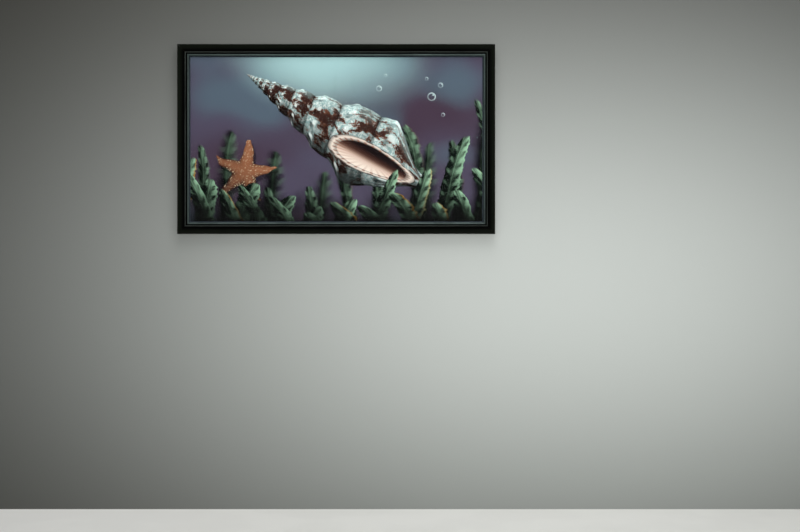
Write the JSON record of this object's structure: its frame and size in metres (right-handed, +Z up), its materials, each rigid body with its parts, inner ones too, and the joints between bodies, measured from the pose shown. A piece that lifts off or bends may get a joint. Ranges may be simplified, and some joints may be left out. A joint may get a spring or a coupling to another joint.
{
  "type": "framed picture",
  "caption": "Wide framed picture in a stepped black moulding with a pewter slip, glazed in front, with clips and a hanger bar on its back.",
  "frame": {"origin": "middle of the wall face of the hanger bar's lip, on the plane of the wall, near the top of the frame's back", "axes": "+X along the picture to the viewer's right, +Y from the room into the wall, +Z up"},
  "size_m": [1.39, 0.0415, 0.83],
  "materials": {
    "black_lacquer": "satin black lacquer on wood",
    "pewter_leaf": "tarnished pewter leaf on wood",
    "clear_acrylic": "clear, low-glare",
    "charcoal_board": "matt charcoal mount board",
    "printed_paper": "satin photographic paper",
    "foam_board": "white paper faces on foam",
    "hardboard": "raw brown hardboard",
    "anodised_bar": "satin anodised",
    "zinc_clip": "bright zinc plate",
    "brass_screw": "brass plate on steel",
    "grey_rubber": "matt grey rubber"
  },
  "bodies": {
    "root": {"rail_top": "black_lacquer", "rail_bottom": "black_lacquer", "stile_left": "black_lacquer", "stile_right": "black_lacquer", "slip_top": "pewter_leaf", "slip_bottom": "pewter_leaf", "slip_left": "pewter_leaf", "slip_right": "pewter_leaf", "glazing": "clear_acrylic", "window_mount": "charcoal_board", "print": "printed_paper", "foam_board": "foam_board", "backing_board": "hardboard", "hanger_bar": "anodised_bar", "bar_screw_1": "brass_screw", "bar_screw_2": "brass_screw", "bar_screw_3": "brass_screw", "bar_screw_4": "brass_screw", "bar_screw_5": "brass_screw", "bar_screw_6": "brass_screw", "clip_top_1": "zinc_clip", "clip_top_2": "zinc_clip", "clip_bottom_1": "zinc_clip", "clip_bottom_2": "zinc_clip", "clip_bottom_3": "zinc_clip", "clip_bottom_4": "zinc_clip", "clip_left_1": "zinc_clip", "clip_left_2": "zinc_clip", "clip_left_3": "zinc_clip", "clip_right_1": "zinc_clip", "clip_right_2": "zinc_clip", "clip_right_3": "zinc_clip", "clip_screw_top_1": "brass_screw", "clip_screw_top_2": "brass_screw", "clip_screw_bottom_1": "brass_screw", "clip_screw_bottom_2": "brass_screw", "clip_screw_bottom_3": "brass_screw", "clip_screw_bottom_4": "brass_screw", "clip_screw_left_1": "brass_screw", "clip_screw_left_2": "brass_screw", "clip_screw_left_3": "brass_screw", "clip_screw_right_1": "brass_screw", "clip_screw_right_2": "brass_screw", "clip_screw_right_3": "brass_screw", "bumper_left": "grey_rubber", "bumper_right": "grey_rubber"}
  },
  "joints": []
}
